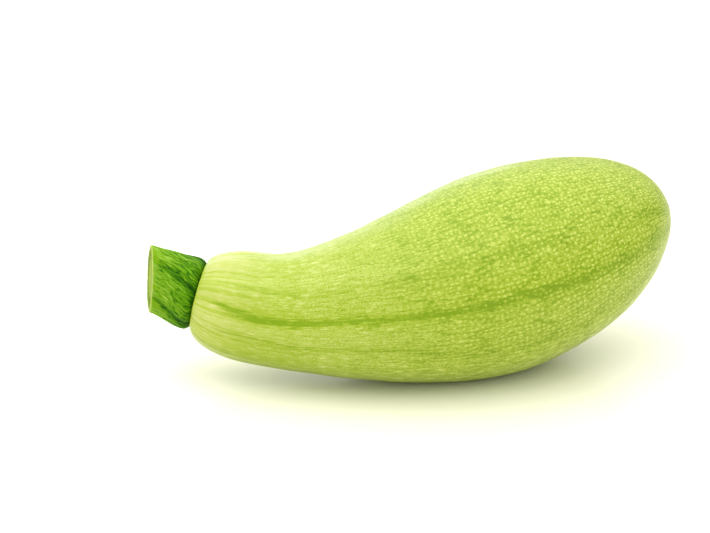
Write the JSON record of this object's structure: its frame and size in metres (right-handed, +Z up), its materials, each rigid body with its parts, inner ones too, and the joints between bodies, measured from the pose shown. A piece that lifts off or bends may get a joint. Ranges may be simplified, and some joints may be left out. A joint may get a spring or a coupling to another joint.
{
  "type": "vegetable marrow",
  "caption": "Young vegetable marrow lying on its side: a curved, pear-shaped fruit with a narrow ribbed neck, a thick five-angled cut stem and a dry scar at the blossom end.",
  "frame": {"origin": "on the surface the marrow lies on, under the middle of its bounding box", "axes": "+X from the cut stem towards the blossom end, +Z up, and the belly bulges towards -Y"},
  "size_m": [0.2368, 0.0926, 0.0902],
  "materials": {
    "skin": "waxy pale green skin with lighter speckles",
    "stem": "fibrous deep green",
    "scar": "dry, corky and matt"
  },
  "bodies": {
    "root": {"fruit": "skin", "stem": "stem", "blossom_scar": "scar"}
  },
  "joints": []
}
